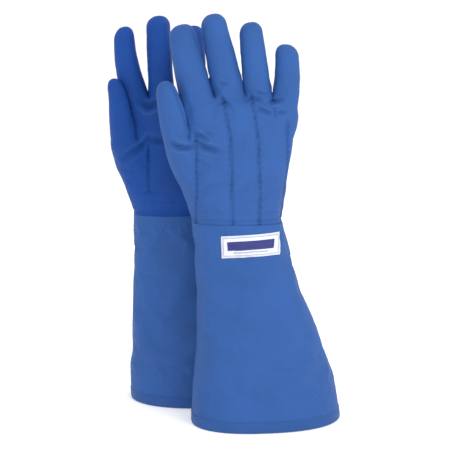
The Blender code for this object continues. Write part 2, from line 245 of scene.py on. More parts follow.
def profile(knots, values, rounding):
    """A function through the knots, straight beyond them and rounded over that length."""
    knots, values = np.array(knots, float), np.array(values, float)
    step = rounding / 8
    places = np.arange(knots[0] - 2 * rounding, knots[-1] + 2 * rounding, step)
    straight = np.interp(places, knots, values)
    weights = np.exp(-0.5 * (np.arange(-16, 17) * step / (rounding / 2)) ** 2)
    padded = np.pad(straight, 16, mode="edge")
    smooth = np.convolve(padded, weights / weights.sum(), mode="valid")
    return lambda value: np.interp(value, places, smooth)


def oval_distance(offsets, radii, square):
    """About how far a point is outside a superellipsoid, given its offset and the radius on each axis."""
    shares = [np.abs(offset) / radius for offset, radius in zip(offsets, radii)]
    size = np.maximum(sum(share**square for share in shares), 1e-12) ** (1 / square)
    slopes = [(share / size) ** (square - 1) / radius for share, radius in zip(shares, radii)]
    return (size - 1) / np.sqrt(sum(slope**2 for slope in slopes))


def line_distance(x, z, points):
    """The distance to a broken line, and how far along it the nearest point is, from 0 to 1."""
    best = np.full(len(x), 9.0)
    along = np.zeros(len(x))
    lengths = [math.dist(a, b) for a, b in zip(points, points[1:])]
    passed, total = 0.0, sum(lengths)
    for (ax, az), (bx, bz), length in zip(points, points[1:], lengths):
        t = np.clip(((x - ax) * (bx - ax) + (z - az) * (bz - az)) / length**2, 0, 1)
        far = np.hypot(x - ax - t * (bx - ax), z - az - t * (bz - az))
        nearer = far < best
        best = np.where(nearer, far, best)
        along = np.where(nearer, (passed + t * length) / total, along)
        passed += length
    return best, along


def ripple(p, seed, wavelength, count=9):
    """A smooth random value of about -1 to 1, the same at each run."""
    random = np.random.default_rng(seed)
    total = np.zeros(len(p))
    for _ in range(count):
        direction = random.normal(size=3)
        direction /= np.linalg.norm(direction)
        turns = 2 * math.pi / (wavelength * random.uniform(0.6, 1.6))
        total += np.sin(p @ direction * turns + random.uniform(0, 2 * math.pi))
    return total / math.sqrt(count)


# ------------------------------------------------------------------------------------- the glove field

HAND_PROFILES = [
    profile([ring[0] for ring in HAND_RINGS], [ring[i] for ring in HAND_RINGS], 0.012) for i in range(1, 6)
]


class Stall:
    """A finger stall's shape about its hinge: t runs along it and s across it."""

    def __init__(self, side, finger):
        joint = JOINTS[f"{side}_{finger}_bend"]
        base = Vector(joint["pos_m"]) - PLACES[side]
        across = Vector(joint["axis"]) * -PALM[side]
        self.x, self.z = base.x, base.z
        self.cosine, self.sine = across.x, -across.z
        self.length, widths, self.flat, self.bow, self.aside = STALLS[side][finger]
        self.cut = CUTS[finger]
        self.width = profile([knot * self.length for knot in STALL_KNOTS], widths, 0.014)

    def local(self, p):
        x, z = p[:, 0] - self.x, p[:, 2] - self.z
        return x * self.sine + z * self.cosine, x * self.cosine - z * self.sine

    def point(self, t):
        """The point of the axis at t, as x, q, z."""
        return np.array([self.x + t * self.sine, 0.0, self.z + t * self.cosine])

    def distance(self, p):
        t, s = self.local(p)
        share = np.clip(t / self.length, 0, 1)
        s = s - self.bow * np.sin(math.pi * share) - self.aside * (1 - share)
        q = p[:, 1] - STALL_CURL * share**2
        width = self.width(t)
        tip = np.maximum(t - self.length + STALL_DOME, 0)
        root = np.maximum(-0.012 - t, 0)
        depth = width * (self.flat + (1 - self.flat) * share**2)
        return oval_distance((s, q, tip, root), (width, depth, STALL_DOME, 0.02), STALL_SQUARE)


class Glove:
    """The field of one glove, in its own frame."""

    def __init__(self, side):
        self.side = side
        self.relief = None
        self.stalls = {finger: Stall(side, finger) for finger in FINGERS}
        lean, tilt, self.thumb_length, widths, self.thumb_shift, self.thumb_aside = THUMBS[side]
        base = Vector(JOINTS[f"{side}_thumb_swing"]["pos_m"]) - PLACES[side]
        turn = Matrix.Rotation(math.radians(lean), 3, "Y") @ Matrix.Rotation(math.radians(tilt), 3, "X")
        flip = Matrix.Diagonal((1, PALM[side], 1))
        self.thumb_base = np.array(flip @ base)
        self.thumb_axes = np.array(flip @ turn).T  # rows: across, towards the viewer's back, along
        knots = [knot * self.thumb_length for knot in THUMB_KNOTS]
        self.thumb_width = profile(knots, widths, 0.012)

    def hand(self, p):
        middle, width, back, palm, square = (read(p[:, 2]) for read in HAND_PROFILES)
        depth = back + (palm - back) * ramp(p[:, 1], -0.004, 0.004)
        body = oval_distance((p[:, 0] - middle, p[:, 1]), (width, depth), square)
        top = p[:, 2] - KNUCKLE_Z + KNUCKLE_DROP * (p[:, 0] - KNUCKLE_X) ** 2
        return smooth_max(body, top, HAND_FILLET)

    def knit(self, p):
        """The hand with all four stalls."""
        stalls = np.min([stall.distance(p) for stall in self.stalls.values()], axis=0)
        return smooth_min(self.hand(p), stalls, FINGER_FILLET)

    def one_stall(self, p, finger):
        """One stall with the hand under it, parted from its neighbours."""
        own = self.stalls[finger].distance(p)
        others = np.min([self.stalls[f].distance(p) for f in FINGERS if f != finger], axis=0)
        joined = smooth_min(self.hand(p), own, FINGER_FILLET)
        return smooth_max(joined, (own - others) / 2 + SLOT, 0.0012)

    def thumb_local(self, p):
        return (p - self.thumb_base) @ self.thumb_axes.T

    def thumb_free(self, p):
        """The thumb on its own, with a root that runs out in the hand."""
        across, forth, along = self.thumb_local(p).T
        rest = 1 - np.clip(along / self.thumb_length, -0.3, 1)
        forth = forth + self.thumb_shift * rest
        across = across - self.thumb_aside * rest
        width = self.thumb_width(along)
        tip = np.maximum(along - self.thumb_length + THUMB_DOME, 0)
        root = np.maximum(0.002 - along, 0)
        return oval_distance((across, forth, tip, root), (width, width * 0.95, THUMB_DOME, THUMB_ROOT), 2.2)

    def parted(self, p, apart):
        """The hand and thumb in one at the thumb's root, and the given field above it."""
        free = self.thumb_free(p)
        knit = self.knit(p)
        share = ramp(self.thumb_local(p)[:, 2], THUMB_CUT, THUMB_FREE)
        return (1 - share) * smooth_min(knit, free, THUMB_FILLET) + share * apart(knit, free)

    def palm_and_back(self, p):
        return self.parted(p, lambda knit, free: knit)

    def thumb(self, p):
        joined = self.parted(p, lambda knit, free: smooth_max(free, SLOT - knit, 0.005))
        return smooth_max(joined, self.thumb_free(p) - THUMB_REACH, 0.001)

    def whole(self, p):
        """The hand, stalls and thumb in one, for the cloth pass."""
        return smooth_min(self.knit(p), self.thumb_free(p), FINGER_FILLET)

    def seam_share(self, p):
        """How near a sewn seam a point is, from 0 to 1."""
        x, q, z = p.T
        share = np.zeros(len(p))
        for facing, seams in ((-1, BACK_SEAMS), (1, PALM_SEAMS)):
            side = ramp(q * facing, 0.002, 0.010)
            for points in seams:
                away, along = line_distance(x, z, points)
                ends = ramp(along, 0, 0.04) * ramp(along, 1, 0.99)
                share = np.maximum(share, side * ends * np.exp(-((away / SEAM_WIDTH) ** 2)))
        return share

    def folds(self, p):
        """How far the fabric stands out: the padding's relief, the seams' valleys and the creases."""
        out = self.sewn(p) + 0.00022 * ripple(p, 3, 0.030) + 0.00010 * ripple(p, 4, 0.012)
        return out if self.relief is None else out + self.relief(p)

    def sewn(self, p):
        """The valleys of the seams and the creases alone."""
        x, q, z = p.T
        out = np.zeros(len(p))
        for facing, seams, creases in ((-1, BACK_SEAMS, BACK_CREASES), (1, PALM_SEAMS, PALM_CREASES)):
            side = ramp(q * facing, 0.002, 0.010)
            for points in seams:
                away, along = line_distance(x, z, points)
                ends = ramp(along, 0, 0.04) * ramp(along, 1, 0.99)
                pucker = 1 + 0.35 * np.sin(along * math.dist(points[0], points[-1]) / PUCKER * 2 * math.pi)
                out -= side * ends * (0.0013 * np.exp(-((away / 0.0018) ** 2)) + 0.0010 * pucker * np.exp(-away / 0.0050))
            for points, width, depth in creases:
                away, along = line_distance(x, z, points)
                ends = np.sqrt(np.clip(np.sin(math.pi * (0.06 + 0.88 * along)), 0, 1))
                near = np.exp(-((away / width) ** 2)) - 0.28 * np.exp(-(((away - 2.2 * width) / width) ** 2))
                out -= side * ends * depth * near
        near_seam = np.exp(-(((z - WRIST_SEAM) / 0.0016) ** 2))
        return out - 0.0010 * near_seam

    def thumb_folds(self, p):
        return self.folds(p) + self.thumb_sewn(p)

    def all_sewn(self, p):
        return self.sewn(p) + self.thumb_sewn(p)

    def thumb_sewn(self, p):
        """The thumb's side seam and the crease at its root, on the side that faces out."""
        x, q, z = p.T
        out = np.zeros(len(p))
        for points, width, depth, facing in THUMB_CREASES[self.side]:
            away, along = line_distance(x, z, points)
            ends = np.sqrt(np.clip(np.sin(math.pi * (0.06 + 0.88 * along)), 0, 1))
            near = np.exp(-((away / width) ** 2)) - 0.28 * np.exp(-(((away - 2.2 * width) / width) ** 2))
            out -= ramp(q * facing, -0.004, 0.006) * ends * depth * near
        return out


# ------------------------------------------------------------------------------------ meshing the field


def surface_nets(field, low, high, step):
    """Quads on the surface where the field is 0, as (points, faces)."""
    axes = [np.arange(a, b + step, step) for a, b in zip(low, high)]
    shape = [len(axis) for axis in axes]
    grid = np.stack(np.meshgrid(*axes, indexing="ij"), -1).reshape(-1, 3)
    value = np.concatenate([field(part) for part in np.array_split(grid, 1 + len(grid) // 200000)])
    value = value.reshape(shape)
    inside = value < 0
    cells = tuple(n - 1 for n in shape)
    corners = [(i, j, k) for i in (0, 1) for j in (0, 1) for k in (0, 1)]

    def at(array, corner):
        return array[tuple(slice(c, c + n) for c, n in zip(corner, cells))]

    held = sum(at(inside, corner).astype(int) for corner in corners)
    active = (held > 0) & (held < 8)
    total = np.zeros((*cells, 3))
    count = np.zeros(cells)
    for a in corners:
        for axis in range(3):
            if a[axis]:
                continue
            b = tuple(c + (i == axis) for i, c in enumerate(a))
            va, vb = at(value, a), at(value, b)
            cross = (at(inside, a) != at(inside, b)) & active
            share = np.where(cross, va / np.where(cross, va - vb, 1), 0)
            place = np.array(a, float) + share[..., None] * (np.arange(3) == axis)
            total += np.where(cross[..., None], place, 0)
            count += cross
    index = np.full(cells, -1)
    index[active] = np.arange(active.sum())
    corner = np.argwhere(active)
    points = np.array(low) + step * (corner + total[active] / count[active][:, None])
    faces = []
    for axis in range(3):
        u, v = (axis + 1) % 3, (axis + 2) % 3
        here = [slice(1, -1)] * 3
        here[axis] = slice(0, -1)
        ahead = list(here)
        ahead[axis] = slice(1, None)
        first, second = inside[tuple(here)], inside[tuple(ahead)]
        for sign, found in ((1, first & ~second), (-1, ~first & second)):
            spot = np.argwhere(found)
            spot += [0 if i == axis else 1 for i in range(3)]
            around = []
            for du, dv in ((-1, -1), (0, -1), (0, 0), (-1, 0))[::sign]:
                cell = spot.copy()
                cell[:, u] += du
                cell[:, v] += dv
                around.append(index[tuple(cell.T)])
            faces.append(np.stack(around, 1))
    return points, np.concatenate(faces)


def slope_of(field, points):
    """The field's gradient at each point."""
    slopes = []
    for axis in range(3):
        shift = np.zeros(3)
        shift[axis] = GRADIENT_STEP
        slopes.append((field(points + shift) - field(points - shift)) / (2 * GRADIENT_STEP))
    return np.stack(slopes, 1)


def settle(field, points, rounds):
    """Moves points onto the field's surface."""
    for _ in range(rounds):
        slope = slope_of(field, points)
        points = points - (field(points) / np.maximum((slope**2).sum(1), 0.05))[:, None] * slope
    return points


def relax(points, faces):
    """Evens out a mesh: each point goes half way to the mean of its neighbours."""
    total, count = np.zeros_like(points), np.zeros(len(points))
    for a, b in ((0, 1), (1, 2), (2, 3), (3, 0)):
        for start, stop in ((a, b), (b, a)):
            np.add.at(total, faces[:, start], points[faces[:, stop]])
            np.add.at(count, faces[:, start], 1)
    return (points + total / np.maximum(count, 1)[:, None]) / 2


def mesh_field(base, detailed, low, high, step=MESH_STEP):
    """A mesh of the base field, moved onto the detailed one."""
    points, faces = surface_nets(base, low, high, step)
    for _ in range(2):
        points = settle(base, relax(points, faces), 1)
    return settle(detailed, points, 3), faces


# -------------------------------------------------------------------------------------- the cloth pass


def run_cloth(points, faces, held, pressure, growth):
    """Inflates the fabric about its filling. held is 0 to 1 for each point. Gives where the points go."""
    mesh = bpy.data.meshes.new("cloth_pass")
    mesh.from_pydata([tuple(p) for p in points], [], [tuple(f) for f in faces])
    thing = bpy.data.objects.new("cloth_pass", mesh)
    bpy.context.scene.collection.objects.link(thing)
    group = thing.vertex_groups.new(name="held")
    for i, weight in enumerate(held):
        group.add([i], float(weight), "REPLACE")
    cloth = thing.modifiers.new("cloth", "CLOTH")
    settings = cloth.settings
    settings.quality = 6
    settings.mass = 0.25
    settings.tension_stiffness = settings.compression_stiffness = 20
    settings.shear_stiffness = 8
    settings.bending_stiffness = 0.6
    settings.vertex_group_mass = "held"
    settings.use_pressure = True
    settings.uniform_pressure_force = pressure
    settings.shrink_min = -growth
    settings.effector_weights.gravity = 0
    cloth.point_cache.frame_end = CLOTH_FRAMES
    for number in range(1, CLOTH_FRAMES + 1):
        bpy.context.scene.frame_set(number)
    result = thing.evaluated_get(bpy.context.evaluated_depsgraph_get()).to_mesh()
    moved = np.array([v.co for v in result.vertices])
    bpy.data.objects.remove(thing, do_unlink=True)
    bpy.context.scene.frame_set(1)
    return moved


def make_relief(points, offsets, spread):
    """A function of place that smoothly joins the offsets given at scattered points."""
    low = points.min(0) - 4 * spread
    shape = np.ceil((points.max(0) + 4 * spread - low) / spread).astype(int) + 1
    total, weight = np.zeros(shape), np.full(shape, 1e-6)
    near = range(-2, 3)
    cell = np.round((points - low) / spread).astype(int)
    for step in [(i, j, k) for i in near for j in near for k in near]:
        spot = cell + np.array(step)
        far = (((low + spot * spread - points) / spread) ** 2).sum(1)
        share = np.exp(-far)
        np.add.at(total, tuple(spot.T), share * offsets)
        np.add.at(weight, tuple(spot.T), share)
    grid = total / weight

    def relief(p):
        place = np.clip((p - low) / spread, 0, np.array(shape) - 1.001)
        base = place.astype(int)
        t = place - base
        out = np.zeros(len(p))
        for corner in [(i, j, k) for i in (0, 1) for j in (0, 1) for k in (0, 1)]:
            share = np.prod([t[:, n] if c else 1 - t[:, n] for n, c in enumerate(corner)], axis=0)
            out += share * grid[tuple((base + np.array(corner)).T)]
        return out

    return relief


def add_relief(glove):
    """Runs the glove's hand as cloth, held along its seams and at the wrist, and keeps the relief."""
    low, high = (-0.105, -0.050, 0.204), (0.095, 0.050, 0.475)
    points, faces = surface_nets(glove.whole, low, high, CLOTH_STEP)
    points = settle(glove.whole, relax(points, faces), 2)
    held = np.maximum(glove.seam_share(points), ramp(points[:, 2], 0.246, 0.236))
    moved = run_cloth(points, faces, held, CLOTH_PRESSURE, CLOTH_GROWTH)
    slope = slope_of(glove.whole, points)
    slope /= np.linalg.norm(slope, axis=1)[:, None]
    out = ((moved - points) * slope).sum(1)
    out = CLOTH_CAP * np.tanh((out - np.median(out)) / (2 * CLOTH_CAP))
    glove.relief = make_relief(points, out, CLOTH_STEP * 0.75)


# ------------------------------------------------------------------------------------- building objects


def to_row(side, points):
    """From a glove's own frame to the row frame."""
    return points * np.array([1, PALM[side], 1]) + np.array(PLACES[side])


def to_glove(side, points):
    return (points - np.array(PLACES[side])) * np.array([1, PALM[side], 1])


def make_object(name, points, faces, material):
    mesh = bpy.data.meshes.new(name)
    mesh.from_pydata([tuple(p) for p in points], [], [tuple(f) for f in faces])
    mesh.materials.append(material)
    mesh.use_auto_texspace = False
    mesh.texspace_location = (0, 0, 0)
    mesh.texspace_size = (1, 1, 1)
    mesh.shade_smooth()
    thing = bpy.data.objects.new(name, mesh)
    bpy.context.scene.collection.objects.link(thing)
    return thing


def make_skin(name, side, points, faces, material, cuts=()):
    """An object from a glove's own points. Each cut is (point, normal, test): what is beyond goes."""
    flip = PALM[side] < 0
    thing = make_object(name, to_row(side, points), faces[:, ::-1] if flip else faces, material)
    mesh = bmesh.new()
    mesh.from_mesh(thing.data)
    for point, normal, test in cuts:
        point = to_row(side, np.array([point]))[0]
        normal = np.array(normal) * np.array([1, PALM[side], 1])
        centres = np.array([face.calc_center_median() for face in mesh.faces])
        chosen = test(to_glove(side, centres))
        faces_in = [face for face, ok in zip(list(mesh.faces), chosen) if ok]
        geom = set(faces_in)
        for face in faces_in:
            geom.update(face.edges)
            geom.update(face.verts)
        bmesh.ops.bisect_plane(mesh, geom=list(geom), dist=1e-7, plane_co=point, plane_no=normal)
        centres = np.array([face.calc_center_median() for face in mesh.faces])
        gone = test(to_glove(side, centres)) & ((centres - point) @ normal > 0)
        bmesh.ops.delete(mesh, geom=[f for f, g in zip(list(mesh.faces), gone) if g], context="FACES")
    mesh.to_mesh(thing.data)
    mesh.free()
    return thing


def set_normals(thing, side, field):
    """Shades a skin by the field's own slope, so that a cut between two pieces doesn't show."""
    points = np.array([v.co for v in thing.data.vertices])
    slope = slope_of(field, to_glove(side, points)) * np.array([1, PALM[side], 1])
    slope /= np.maximum(np.linalg.norm(slope, axis=1), 1e-9)[:, None]
    thing.data.normals_split_custom_set_from_vertices([tuple(n) for n in slope])


# -------------------------------------------------------------------------------------------- materials


class Nodes:
    """A short way to write a material's node tree."""

    def __init__(self, name):
        self.material = bpy.data.materials.new(name)
        self.material.use_nodes = True
        self.tree = self.material.node_tree
        self.shader = self.tree.nodes["Principled BSDF"]

    def add(self, kind, values=(), **settings):
        node = self.tree.nodes.new("ShaderNode" + kind)
        for name, value in settings.items():
            setattr(node, name, value)
        for place, value in dict(values).items():
            if isinstance(value, bpy.types.NodeSocket):
                self.tree.links.new(value, node.inputs[place])
            else:
                node.inputs[place].default_value = value
        return node

    def math(self, operation, a, b=0.0, c=0.0):
        return self.add("Math", {0: a, 1: b, 2: c}, operation=operation).outputs[0]

    def vector(self, operation, a, b=(0, 0, 0)):
        return self.add("VectorMath", {0: a, 1: b}, operation=operation).outputs[0]

    def rest(self):
        """The place on the piece in metres, which stays with the fabric when it bends."""
        generated = self.add("TexCoord").outputs["Generated"]
        return self.vector("MULTIPLY", self.vector("SUBTRACT", generated, (0.5,) * 3), (2.0,) * 3)

    def noise(self, at, size, detail=2.0):
        """Noise of that feature size in metres, about 0.5."""
        values = {"Vector": at, "Scale": 1 / size, "Detail": detail, "Roughness": 0.5}
        return self.add("TexNoise", values).outputs[0]

    def waves(self, at, pitch):
        """Three sines, one along each axis, with that pitch in metres."""
        turns = 2 * math.pi / pitch
        split = self.add("SeparateXYZ", {0: self.vector("SINE", self.vector("MULTIPLY", at, (turns,) * 3))})
        return split.outputs

    def mix(self, share, low, high):
        node = self.add("Mix", data_type="RGBA")
        for place, value in ((0, share), (6, low), (7, high)):
            if isinstance(value, bpy.types.NodeSocket):
                self.tree.links.new(value, node.inputs[place])
            else:
                node.inputs[place].default_value = value if place == 0 else (*value, 1)
        return node.outputs[2]

    def attribute(self, name):
        return self.add("Attribute", attribute_name=name).outputs["Fac"]

    def bump(self, height, distance, strength=1.0, normal=None):
        values = {"Height": height, "Distance": distance, "Strength": strength}
        if normal:
            values["Normal"] = normal
        return self.add("Bump", values).outputs[0]

    def finish(self, colour, roughness, normal, sheen=0.0, specular=0.22):
        for name, value in (("Base Color", colour), ("Roughness", roughness), ("Normal", normal)):
            self.tree.links.new(value, self.shader.inputs[name])
        self.shader.inputs["Specular IOR Level"].default_value = specular
        if sheen:
            self.shader.inputs["Sheen Weight"].default_value = sheen
            self.shader.inputs["Sheen Roughness"].default_value = 0.45
            self.shader.inputs["Sheen Tint"].default_value = (0.55, 0.72, 1.0, 1)
        return self.material


def scaled(colour, factor):
    return tuple(value * factor for value in colour)


def woven(name, colour, pitch, sheen, crumple):
    """Plain-woven nylon over padding: threads, a mottled tone, small crumples, painted shade in the grooves of seams
    and creases, worn ridges, and a deeper blue painted on the palm side as shade.
    """
    n = Nodes(name)
    at = n.rest()
    x, y, z = n.waves(at, pitch)
    threads = n.math("ADD", n.math("MULTIPLY", x, z), n.math("MULTIPLY", y, z))
    mottle = n.noise(at, 0.035, 3.0)
    specks = n.noise(at, 0.0035, 2.0)
    shade = n.math("ADD", n.math("MULTIPLY", mottle, 1.5), n.math("MULTIPLY", specks, 0.5))
    shade = n.math("MULTIPLY_ADD", threads, 0.06, n.math("SUBTRACT", shade, 0.5))
    shade = n.math("MINIMUM", n.math("MAXIMUM", shade, 0.0), 1.0)
    # painted shade: the palm side gets a deeper blue than the back
    palm = tuple(a * b for a, b in zip(colour, PAINTED_PALM_SHADE))
    back_cloth = n.mix(shade, scaled(colour, 0.90), scaled(colour, 1.10))
    cloth = n.mix(n.attribute("palm"), back_cloth, n.mix(shade, scaled(palm, 0.90), scaled(palm, 1.10)))
    worn = n.mix(n.math("MULTIPLY", n.attribute("ridge"), 0.55), cloth, tuple(0.6 * c + 0.06 for c in scaled(colour, 1.6)))
    # painted shade: the grooves of seams and creases are painted darker
    groove_shaded = n.mix(n.attribute("groove_shade"), worn, scaled(colour, 0.42))
    crumples = n.noise(at, 0.012, 3.0)
    rough = n.math("MULTIPLY_ADD", mottle, 0.16, 0.54)
    normal = n.bump(crumples, crumple, 0.6)
    normal = n.bump(threads, 0.00010, 0.6, normal)
    return n.finish(groove_shaded, rough, normal, sheen)


def knitted(name, colour):
    """Brushed knit lining, with ribs and a soft nap."""
    n = Nodes(name)
    at = n.rest()
    x, y, z = n.waves(at, 0.0022)
    ribs = n.math("ADD", n.math("ADD", x, y), n.math("MULTIPLY", z, 0.5))
    nap = n.noise(at, 0.0015, 3.0)
    shade = n.math("MULTIPLY_ADD", ribs, 0.12, nap)
    cloth = n.mix(n.math("MINIMUM", n.math("MAXIMUM", shade, 0.0), 1.0), scaled(colour, 0.80), colour)
    rough = n.math("MULTIPLY_ADD", nap, 0.1, 0.85)
    normal = n.bump(nap, 0.0004, 0.6, n.bump(ribs, 0.00025, 0.7))
    return n.finish(cloth, rough, normal, 0.3)


def taped(name, colour):
    """Twill tape, with its diagonal rib."""
    n = Nodes(name)
    at = n.rest()
    split = n.add("SeparateXYZ", {0: at}).outputs
    along = n.math("ADD", n.math("ADD", split[0], split[1]), split[2])
    rib = n.math("SINE", n.math("MULTIPLY", along, 2 * math.pi / 0.0011))
    mottle = n.noise(at, 0.02, 3.0)
    shade = n.math("MULTIPLY_ADD", rib, 0.12, mottle)
    cloth = n.mix(shade, scaled(colour, 0.82), scaled(colour, 1.15))
    rough = n.math("MULTIPLY_ADD", mottle, 0.15, 0.5)
    return n.finish(cloth, rough, n.bump(rib, 0.00012, 0.7), 0.05)


def satin_label(name):
    """A woven satin label: a white ground, a thin grey rule near its edge, a plain navy bar and a grey line."""
    n = Nodes(name)
    uv = n.add("SeparateXYZ", {0: n.add("TexCoord").outputs["UV"]}).outputs
    x = n.math("MULTIPLY", n.math("SUBTRACT", uv[0], 0.5), LABEL_WIDTH)
    y = n.math("MULTIPLY", n.math("SUBTRACT", uv[1], 0.5), LABEL_HEIGHT)

    def box(middle_x, middle_y, half_x, half_y):
        """1 inside the box and 0 outside it."""
        dx = n.math("SUBTRACT", n.math("ABSOLUTE", n.math("SUBTRACT", x, middle_x)), half_x)
        dy = n.math("SUBTRACT", n.math("ABSOLUTE", n.math("SUBTRACT", y, middle_y)), half_y)
        return n.math("LESS_THAN", n.math("MAXIMUM", dx, dy), 0.0)

    half_x, half_y = LABEL_WIDTH / 2, LABEL_HEIGHT / 2
    outer = box(0, 0, half_x - 0.0021, half_y - 0.0021)
    inner = box(0, 0, half_x - 0.0027, half_y - 0.0027)
    bar = box(0.0, 0.0010, 0.0257, 0.0052)
    rule = box(0.0, -0.0068, 0.0195, 0.0006)
    at = n.rest()
    fine = n.noise(at, 0.0009, 2.0)
    ground = n.mix(fine, (0.58, 0.60, 0.66), (0.70, 0.71, 0.76))
    colour = n.mix(n.math("SUBTRACT", outer, inner), ground, (0.20, 0.23, 0.36))
    colour = n.mix(bar, colour, (0.020, 0.022, 0.16))
    colour = n.mix(rule, colour, (0.26, 0.30, 0.46))
    threads = n.waves(at, 0.0007)
    weave = n.math("MULTIPLY", threads[0], threads[2])
    rough = n.math("MULTIPLY_ADD", fine, 0.2, 0.35)
    return n.finish(colour, rough, n.bump(weave, 0.00006, 0.6), 0.0, 0.4)


def plain_surface(name, colour, roughness, glow):
    n = Nodes(name)
    n.shader.inputs["Base Color"].default_value = (*colour, 1)
    n.shader.inputs["Roughness"].default_value = roughness
    n.shader.inputs["Specular IOR Level"].default_value = 0.0
    n.shader.inputs["Emission Color"].default_value = (1, 1, 1, 1)
    n.shader.inputs["Emission Strength"].default_value = glow
    return n.material


def twisted_thread(name, colour):
    n = Nodes(name)
    at = n.rest()
    split = n.add("SeparateXYZ", {0: at}).outputs
    along = n.math("ADD", n.math("MULTIPLY", split[0], 1.7), n.math("ADD", split[1], split[2]))
    ply = n.math("SINE", n.math("MULTIPLY", along, 2 * math.pi / 0.0005))
    cloth = n.mix(n.math("MULTIPLY_ADD", ply, 0.3, 0.5), scaled(colour, 0.8), scaled(colour, 1.2))
    rough = n.math("MULTIPLY_ADD", ply, 0.05, 0.5)
    return n.finish(cloth, rough, n.bump(ply, 0.00005, 0.6), 0.1)


def paint_wear_and_shade(thing, groove_shade, ridge, palm):
    """Keeps how deep in the grooves of seams and creases each point is, for their painted shade; how far it stands
    out, for wear; and how far round to the palm it is, for the palm's painted shade.
    """
    for name, values in (("groove_shade", groove_shade), ("ridge", ridge), ("palm", palm)):
        layer = thing.data.attributes.new(name, "FLOAT", "POINT")
        layer.data.foreach_set("value", np.asarray(values, dtype=np.float32))


def paint_from_field(thing, side, field):
    points = to_glove(side, np.array([v.co for v in thing.data.vertices]))
    out = field(points)
    # painted shade: the deeper a point lies in the groove of a seam or crease, the darker it is painted
    groove_shade = ramp(out, -0.0007, -0.0032) * 0.55
    # the last value marks the palm side, which is painted a deeper blue as shade
    paint_wear_and_shade(thing, groove_shade, ramp(out, 0.0002, 0.0012) * 0.5, ramp(points[:, 1], -0.002, 0.004))


# --------------------------------------------------------------------------------------------- stitches


def stitch_mesh(name, starts, ends, outs, material):
    """Short rounded threads, each a six-sided spindle pressed a little flat on the fabric."""
    profile_rows = ((0.0, 0.05), (0.12, 0.75), (0.5, 1.0), (0.88, 0.75), (1.0, 0.05))
    sides = 6
    points, faces = [], []
    for start, end, out in zip(starts, ends, outs):
        along = end - start
        across = np.cross(along, out)
        across /= max(np.linalg.norm(across), 1e-9)
        first = len(points)
        for share, fat in profile_rows:
            middle = start + along * share + out * THREAD_RADIUS * (0.1 + 0.5 * math.sin(math.pi * share))
            for i in range(sides):
                angle = 2 * math.pi * i / sides
                ring = across * math.cos(angle) + out * math.sin(angle) * 0.8
                points.append(middle + ring * THREAD_RADIUS * fat)
        for row in range(len(profile_rows) - 1):
            for i in range(sides):
                a, b = first + row * sides + i, first + row * sides + (i + 1) % sides
                faces.append((a, b, b + sides, a + sides))
        faces.append(tuple(first + i for i in range(sides))[::-1])
        faces.append(tuple(first + (len(profile_rows) - 1) * sides + i for i in range(sides)))
    return make_object(name, np.array(points), faces, material)


def along_line(points, pitch):
    """Places at an even pitch along a broken line, as pairs of (start, end) for each stitch."""
    points = np.array(points, float)
    lengths = np.linalg.norm(np.diff(points, axis=0), axis=1)
    passed = np.concatenate([[0], np.cumsum(lengths)])
    places = np.arange(0.004, passed[-1] - 0.006, pitch)

    def at(s):
        return np.stack([np.interp(s, passed, points[:, k]) for k in range(2)], 1)

    return at(places), at(places + pitch * STITCH_SHARE)


def on_surface(field, places, facing):
    """The glove's points over (x, z) places, found by walking in from outside."""
    p = np.stack([places[:, 0], np.full(len(places), 0.06 * facing), places[:, 1]], 1)
    for _ in range(60):
        p[:, 1] -= facing * 0.8 * np.minimum(field(p), 0.01)
    return p


def build_hand_stitches(glove, material):
    """The threads of the sewn seams on the back and the palm, and the row above the wrist."""
    side = glove.side

    def whole(p):
        return glove.knit(p) - glove.folds(p)

    starts, ends = [], []
    lines = [(points, -1) for points in BACK_SEAMS] + [(points, 1) for points in PALM_SEAMS]
    for points, facing in lines:
        shifted = [(x + STITCH_ASIDE, z) for x, z in points if z < 0.366 or facing > 0]
        for row, kept in zip(along_line(shifted, STITCH_PITCH), (starts, ends)):
            kept.append(on_surface(whole, row, facing))
    for facing in (-1, 1):
        x = np.arange(-0.034, 0.060, STITCH_PITCH)
        for shift, kept in ((0, starts), (STITCH_PITCH * STITCH_SHARE, ends)):
            row = np.stack([x + shift, np.full(len(x), WRIST_SEAM + 0.0095)], 1)
            kept.append(on_surface(whole, row, facing))
    starts, ends = np.concatenate(starts), np.concatenate(ends)
    found = (np.abs(whole(starts)) < 1e-4) & (np.abs(whole(ends)) < 1e-4)
    starts, ends = starts[found], ends[found]
    outs = slope_of(whole, (starts + ends) / 2)
    outs /= np.linalg.norm(outs, axis=1)[:, None]
    flip = np.array([1, PALM[side], 1])
    thread = stitch_mesh(f"{side}_hand_stitches", to_row(side, starts), to_row(side, ends), outs * flip, material)
    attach(thread, f"{side}_hand")


